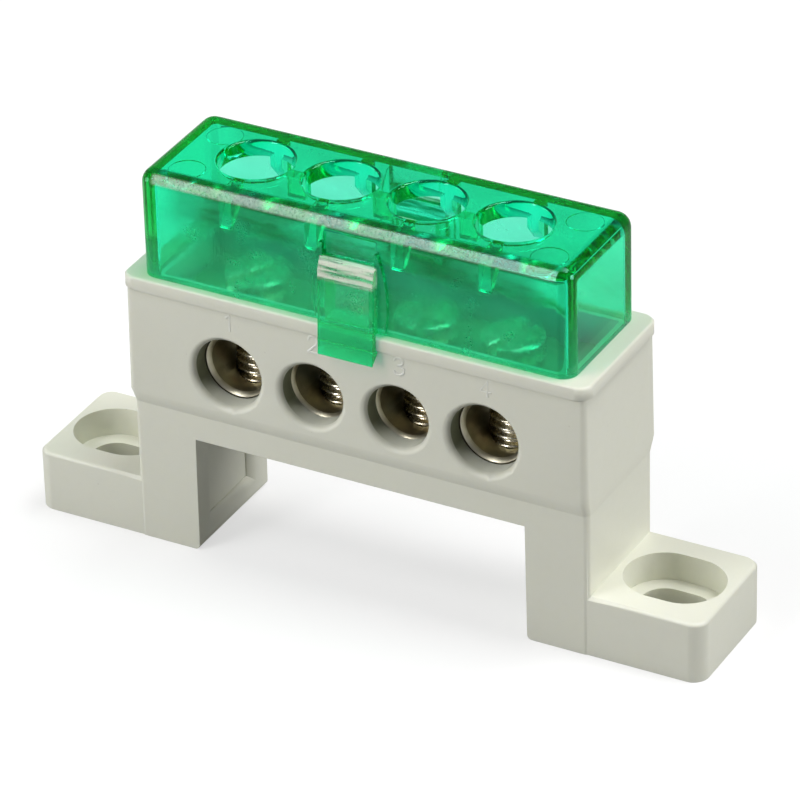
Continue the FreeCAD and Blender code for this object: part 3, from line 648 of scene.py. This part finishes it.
def build_edge_shading():
    """Drops imported normals and shades smoothly over all but square edges and the step line."""
    group, given, result = new_geometry_group("shade_by_angle")
    nodes, links = group.nodes, group.links
    strip = nodes.new("GeometryNodeRemoveAttribute")
    strip.inputs["Name"].default_value = "custom_normal"
    faces = nodes.new("GeometryNodeSetShadeSmooth")
    faces.domain = "FACE"
    edges = nodes.new("GeometryNodeSetShadeSmooth")
    edges.domain = "EDGE"
    angle = nodes.new("GeometryNodeInputMeshEdgeAngle").outputs["Unsigned Angle"]
    split = nodes.new("ShaderNodeSeparateXYZ")
    links.new(nodes.new("GeometryNodeInputPosition").outputs[0], split.inputs[0])
    drop = node_maths(nodes, links, "SUBTRACT", split.outputs["Z"], STEP_HEIGHT)
    reach = node_maths(nodes, links, "ABSOLUTE", drop, 0.0)
    off_line = node_maths(nodes, links, "GREATER_THAN", reach, STEP_REACH)
    flat = node_maths(nodes, links, "LESS_THAN", angle, FACET_EDGE)
    gentle = node_maths(nodes, links, "LESS_THAN", angle, SQUARE_EDGE)
    either = node_maths(nodes, links, "MAXIMUM", off_line, flat)
    smooth = node_maths(nodes, links, "MULTIPLY", either, gentle)
    links.new(given, strip.inputs["Geometry"])
    links.new(strip.outputs["Geometry"], faces.inputs["Geometry"])
    links.new(faces.outputs["Geometry"], edges.inputs["Geometry"])
    links.new(smooth, edges.inputs["Shade Smooth"])
    links.new(edges.outputs["Geometry"], result)
    return group


EDGE_MARKS = build_edge_marks()
EDGE_SHADING = build_edge_shading()


def finish_edges(piece, radius, segments=2):
    """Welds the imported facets, rounds the square edges and shades the faces evenly."""
    weld = piece.modifiers.new("weld", "WELD")
    weld.merge_threshold = WELD_REACH
    flat = piece.modifiers.new("flat_faces", "DECIMATE")
    flat.decimate_type = "DISSOLVE"
    flat.angle_limit = FLAT_EDGE
    marks = piece.modifiers.new("edge_marks", "NODES")
    marks.node_group = EDGE_MARKS
    edge = piece.modifiers.new("edge_radius", "BEVEL")
    edge.width = radius
    edge.segments = segments
    edge.limit_method = "WEIGHT"
    edge.use_clamp_overlap = True
    edge.miter_outer = "MITER_ARC"
    edge.harden_normals = False
    shade = piece.modifiers.new("shade_by_angle", "NODES")
    shade.node_group = EDGE_SHADING
    even = piece.modifiers.new("even_faces", "WEIGHTED_NORMAL")
    even.mode = "FACE_AREA"
    even.weight = 50
    even.keep_sharp = True


def coat(piece, material):
    piece.data.materials.clear()
    piece.data.materials.append(material)


def dress_node(name, material, radius, segments=2):
    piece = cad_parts[name]
    for slot in piece.material_slots:
        slot.material = material
    finish_edges(piece, radius, segments)
    return piece


dress_node("housing", HOUSING_PLASTIC, 0.12 * MM, 3)
dress_node("terminal_bar", BAR_METAL, 0.08 * MM, 2)
dress_node("cover", COVER_PLASTIC, 0.12 * MM, 3)


# Clamp screws with a cut thread and a slotted head

THREAD_ROWS = 10
THREAD_STEPS = 72


def thread_radius(row):
    """Radius of the thread along one pitch: a narrow crest, two flanks and a flat root."""
    crest, foot, rise = 0.12, 0.46, 0.70
    phase = (row % THREAD_ROWS) / THREAD_ROWS
    if phase <= crest:
        return THREAD_CREST
    if phase < foot:
        share = (phase - crest) / (foot - crest)
    elif phase < rise:
        share = 1.0
    else:
        share = (1.0 - phase) / (1.0 - rise)
    return THREAD_CREST + (THREAD_ROOT - THREAD_CREST) * share


def ring_points(radius, height):
    points = []
    for step in range(THREAD_STEPS):
        turn = 2.0 * math.pi * step / THREAD_STEPS
        points.append((radius * math.cos(turn), radius * math.sin(turn), height))
    return points


def thread_points(row):
    """One row of the helix, cut off at the tip, bevelled there and relieved under the head."""
    points = []
    for step in range(THREAD_STEPS):
        turn = 2.0 * math.pi * step / THREAD_STEPS
        rise = SCREW_TIP - THREAD_PITCH + (row / THREAD_ROWS + step / THREAD_STEPS) * THREAD_PITCH
        height = min(max(rise, SCREW_TIP), SCREW_SHOULDER)
        radius = min(thread_radius(row), THREAD_CREST - TIP_CHAMFER + height - SCREW_TIP)
        if height > SCREW_SHOULDER - HEAD_RELIEF:
            radius = THREAD_ROOT
        points.append((radius * math.cos(turn), radius * math.sin(turn), height))
    return points


def head_profile():
    """Radius and height of the rings from the shoulder to the crown."""
    under = 0.2 * MM
    profile = [(HEAD_RADIUS - under, SCREW_SHOULDER), (HEAD_RADIUS, SCREW_SHOULDER + under)]
    for step in range(6):
        turn = math.radians(90.0 * step / 5)
        reach = HEAD_RADIUS - HEAD_ROUND * (1.0 - math.cos(turn))
        profile.append((reach, SCREW_TOP - HEAD_ROUND * (1.0 - math.sin(turn))))
    profile.append((HEAD_RADIUS * 0.5, SCREW_TOP))
    return profile


def screw_mesh(number):
    """One closed surface: helical shank, shoulder and rounded head."""
    turns = math.ceil((SCREW_SHOULDER - SCREW_TIP) / THREAD_PITCH) + 1
    last = turns * THREAD_ROWS
    rings = [thread_points(row) for row in range(last + 1)]
    rings += [ring_points(*spot) for spot in head_profile()]
    points = [point for ring in rings for point in ring]

    def corner(ring, step):
        if step < THREAD_STEPS:
            return ring * THREAD_STEPS + step
        follows = ring + THREAD_ROWS if ring + THREAD_ROWS <= last else ring
        return follows * THREAD_STEPS

    faces = []
    for ring in range(len(rings) - 1):
        for step in range(THREAD_STEPS):
            if ring < last:
                quad = [corner(ring, step), corner(ring, step + 1)]
                quad += [corner(ring + 1, step + 1), corner(ring + 1, step)]
            else:
                low, high = ring * THREAD_STEPS, (ring + 1) * THREAD_STEPS
                following = (step + 1) % THREAD_STEPS
                quad = [low + step, low + following, high + following, high + step]
            faces.append(quad)
    tip, crown = len(points), len(points) + 1
    points += [(0.0, 0.0, SCREW_TIP), (0.0, 0.0, SCREW_TOP)]
    top = (len(rings) - 1) * THREAD_STEPS
    for step in range(THREAD_STEPS):
        following = (step + 1) % THREAD_STEPS
        faces.append([tip, following, step])
        faces.append([crown, top + step, top + following])
    data = bpy.data.meshes.new(f"clamp_screw_{number}_turned")
    data.from_pydata(points, [], faces)
    mesh = bmesh.new()
    mesh.from_mesh(data)
    bmesh.ops.remove_doubles(mesh, verts=mesh.verts, dist=WELD_REACH)
    bmesh.ops.recalc_face_normals(mesh, faces=mesh.faces)
    mesh.to_mesh(data)
    mesh.free()
    return data


def slot_cutter(angle):
    """A bar as wide as the driver slot, with its lower corners rounded."""
    mesh = bmesh.new()
    reach = HEAD_RADIUS * 1.2
    floor = SCREW_TOP - SLOT_DEPTH
    side = SLOT_WIDTH / 2
    soft = 0.12 * MM
    flare = 0.10 * MM
    outline = [(-side, floor + soft), (-side + soft, floor), (side - soft, floor), (side, floor + soft)]
    outline += [(side, SCREW_TOP - flare), (side + 3 * flare, SCREW_TOP + 2 * flare)]
    outline += [(-side - 3 * flare, SCREW_TOP + 2 * flare), (-side, SCREW_TOP - flare)]
    ends = [[mesh.verts.new((x, y, z)) for y, z in outline] for x in (-reach, reach)]
    mesh.faces.new(ends[0])
    mesh.faces.new(reversed(ends[1]))
    count = len(outline)
    for index in range(count):
        following = (index + 1) % count
        mesh.faces.new([ends[0][following], ends[0][index], ends[1][index], ends[1][following]])
    bmesh.ops.recalc_face_normals(mesh, faces=mesh.faces)
    bmesh.ops.rotate(mesh, verts=mesh.verts, cent=(0, 0, 0), matrix=Matrix.Rotation(math.radians(angle), 3, "Z"))
    data = bpy.data.meshes.new("slot_cutter")
    mesh.to_mesh(data)
    mesh.free()
    return data


def new_piece(name, data):
    piece = bpy.data.objects.new(name, data)
    bpy.context.scene.collection.objects.link(piece)
    return piece


def applied_mesh(piece):
    """The piece's mesh with its modifiers applied."""
    bpy.context.view_layer.update()
    graph = bpy.context.evaluated_depsgraph_get()
    return bpy.data.meshes.new_from_object(piece.evaluated_get(graph))


def build_screw(number, x, angle):
    rough = new_piece("screw_blank", screw_mesh(number))
    cutter = new_piece("slot_cutter", slot_cutter(angle))
    cut = rough.modifiers.new("slot", "BOOLEAN")
    cut.operation = "DIFFERENCE"
    cut.solver = "EXACT"
    cut.object = cutter
    data = applied_mesh(rough)
    data.name = f"clamp_screw_{number}_cut"
    for spare in (rough, cutter):
        bpy.data.objects.remove(spare)
    data.transform(Matrix.Translation((x, 0.0, 0.0)))
    piece = new_piece(f"threaded_screw_{number}", data)
    coat(piece, SCREW_METAL)
    shade = piece.modifiers.new("shade_by_angle", "NODES")
    shade.node_group = EDGE_SHADING
    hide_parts(f"clamp_screw_{number}")
    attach(piece, f"clamp_screw_{number}")
    return piece


for number, (x, angle) in enumerate(zip(WAYS, SLOT_ANGLES), 1):
    build_screw(number, x, angle)


# Conical leads at the mouths of the bores; their cone wears a brighter copy of the brass, a painted highlight

def build_bore_leads():
    brim = BAR_FACE + LEAD_PROUD
    profile = [(LEAD_FLANK, BAR_FACE - 0.02 * MM), (LEAD_OUTER, brim), (LEAD_INNER, brim - LEAD_DEPTH),
               (LEAD_INNER, brim - LEAD_DEPTH - 0.1 * MM), (BORE_RADIUS + 0.03 * MM, brim - LEAD_DEPTH - 0.3 * MM),
               (LEAD_FLANK, BAR_FACE - 0.2 * MM)]
    steps = 96
    points, faces, bright = [], [], []
    for x in WAYS:
        for side in (-1, 1):
            first = len(points)
            for step in range(steps):
                turn = 2.0 * math.pi * step / steps
                for radius, depth in profile:
                    points.append((x + radius * math.cos(turn), side * depth, BORE_RISE + radius * math.sin(turn)))
            count = len(profile)
            for step in range(steps):
                near, far = first + step * count, first + (step + 1) % steps * count
                for index in range(count):
                    following = (index + 1) % count
                    faces.append([near + index, near + following, far + following, far + index])
                    # Faces that get the painted highlight of the brighter brass
                    bright.append(index == 1)
    data = bpy.data.meshes.new("bore_leads")
    data.from_pydata(points, [], faces)
    data.materials.append(BAR_METAL)
    data.materials.append(LEAD_HIGHLIGHT_METAL)
    data.polygons.foreach_set("material_index", [int(flag) for flag in bright])
    mesh = bmesh.new()
    mesh.from_mesh(data)
    bmesh.ops.recalc_face_normals(mesh, faces=mesh.faces)
    mesh.to_mesh(data)
    mesh.free()
    piece = new_piece("bore_leads", data)
    shade = piece.modifiers.new("shade_by_angle", "NODES")
    shade.node_group = EDGE_SHADING
    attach(piece, "base")


build_bore_leads()


# Raised position numbers over the wire holes

def build_number(number, x):
    curve = bpy.data.curves.new(f"raised_number_{number}", "CURVE")
    curve.dimensions = "3D"
    curve.bevel_depth = NUMBER_STROKE
    curve.bevel_resolution = 3
    curve.use_fill_caps = True
    for kind, spots in NUMBER_STROKES[number]:
        line = curve.splines.new(kind)
        line.points.add(len(spots) - 1)
        for point, (across, up) in zip(line.points, spots):
            rise = up * NUMBER_HEIGHT
            shift = NUMBER_SHIFT + across * NUMBER_HEIGHT
            point.co = (x + shift, NUMBER_FACE + rise * NUMBER_LEAN, NUMBER_RISE + rise, 1.0)
        if kind == "NURBS":
            line.order_u = 3
            line.use_endpoint_u = True
            line.resolution_u = 6
    piece = new_piece(f"raised_number_{number}", curve)
    coat(piece, NUMBER_LIT_PLASTIC)
    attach(piece, "base")
    return piece


for number, x in enumerate(WAYS, 1):
    build_number(number, x)


# Studio

def seen_ray(tree):
    """One for rays from the camera and through clear plastic, less for mirrored ones, none after a matt bounce."""
    path = tree.nodes.new("ShaderNodeLightPath").outputs
    mirrored = product(tree, path["Is Glossy Ray"], MIRRORED_SHARE)
    seen = highest(tree, path["Is Camera Ray"], path["Is Transmission Ray"], mirrored)
    direct = maths(tree, "SUBTRACT", 1.0, maths(tree, "MINIMUM", path["Diffuse Depth"], 1.0))
    return product(tree, seen, direct)


def make_floor_paper():
    """Pale paper that reads as white where it is seen and keeps the shadow."""
    material, tree, shader, _ = new_material("floor_paper")
    seen = seen_ray(tree)
    wire(tree, blend_colours(tree, seen, FLOOR_LIT, FLOOR_SEEN), shader.inputs["Base Color"])
    shader.inputs["Emission Color"].default_value = (1.0, 1.0, 1.0, 1.0)
    wire(tree, product(tree, seen, FLOOR_GLOW), shader.inputs["Emission Strength"])
    shader.inputs["Roughness"].default_value = 0.9
    shader.inputs["Specular IOR Level"].default_value = 0.0
    return material


def build_floor():
    mesh = bmesh.new()
    bmesh.ops.create_grid(mesh, x_segments=2, y_segments=2, size=6.0)
    data = bpy.data.meshes.new("floor_sheet")
    mesh.to_mesh(data)
    mesh.free()
    floor = new_piece("floor", data)
    floor.location = (0.0, 0.0, -0.02 * MM)
    coat(floor, make_floor_paper())


def build_world():
    world = bpy.data.worlds.new("studio")
    world.use_nodes = True
    tree = world.node_tree
    tree.nodes.clear()
    light = tree.nodes.new("ShaderNodeBackground")
    white = tree.nodes.new("ShaderNodeBackground")
    light.inputs["Strength"].default_value = ROOM_LIGHT

    # White to the camera; to metal and clear plastic it is white near the floor and dims overhead
    split = tree.nodes.new("ShaderNodeSeparateXYZ")
    wire(tree, tree.nodes.new("ShaderNodeTexCoord").outputs["Generated"], split.inputs[0])
    path = tree.nodes.new("ShaderNodeLightPath")
    low = ramp(tree, split.outputs["Z"], *HORIZON, 1.0, ROOM_LIGHT)
    wire(tree, highest(tree, low, path.outputs["Is Camera Ray"]), white.inputs["Strength"])
    output = tree.nodes.new("ShaderNodeOutputWorld")
    wire(tree, mix_shaders(tree, seen_ray(tree), light.outputs[0], white.outputs[0]), output.inputs["Surface"])
    bpy.context.scene.world = world


def hang_soft_box(name, direction, distance, width, height, radiance):
    """A rectangular lamp that faces the part; its width runs level along X as far as the direction lets it."""
    away = Vector(direction).normalized()
    across = (Vector((1.0, 0.0, 0.0)) - away * away.x).normalized()
    upward = away.cross(across)
    lamp = bpy.data.lights.new(name, "AREA")
    lamp.shape = "RECTANGLE"
    lamp.size, lamp.size_y = width, height
    lamp.energy = radiance * math.pi * width * height
    holder = bpy.data.objects.new(name, lamp)
    holder.matrix_world = Matrix.Translation(away * distance) @ Matrix((across, upward, away)).transposed().to_4x4()
    bpy.context.scene.collection.objects.link(holder)


def place_camera():
    flat = math.cos(CAMERA_ELEVATION)
    back = Vector((math.sin(CAMERA_AZIMUTH) * flat, -math.cos(CAMERA_AZIMUTH) * flat, math.sin(CAMERA_ELEVATION)))
    camera = bpy.data.cameras.new("photo_camera")
    camera.lens = CAMERA_LENS
    camera.sensor_width = 36.0
    camera.shift_x, camera.shift_y = CAMERA_SHIFT
    camera.clip_start, camera.clip_end = 0.05, 50.0
    holder = bpy.data.objects.new("photo_camera", camera)
    holder.rotation_mode = "QUATERNION"
    lean = Matrix.Rotation(CAMERA_LEAN, 3, "Z").to_quaternion()
    holder.rotation_quaternion = (-back).to_track_quat("-Z", "Y") @ lean
    holder.location = (Vector(CAMERA_TARGET) + back * CAMERA_DISTANCE) * MM
    bpy.context.scene.collection.objects.link(holder)
    bpy.context.scene.camera = holder


build_floor()
build_world()
for name, setting in SOFT_BOXES.items():
    hang_soft_box(name, *setting)
place_camera()

# Enough bounces for the thick clear walls, and no lamp glitter thrown on the matt plastic
cycles = bpy.context.scene.cycles
cycles.max_bounces = cycles.glossy_bounces = cycles.transmission_bounces = LIGHT_BOUNCES
cycles.caustics_refractive = cycles.caustics_reflective = False
bpy.context.scene.view_settings.view_transform = "Standard"
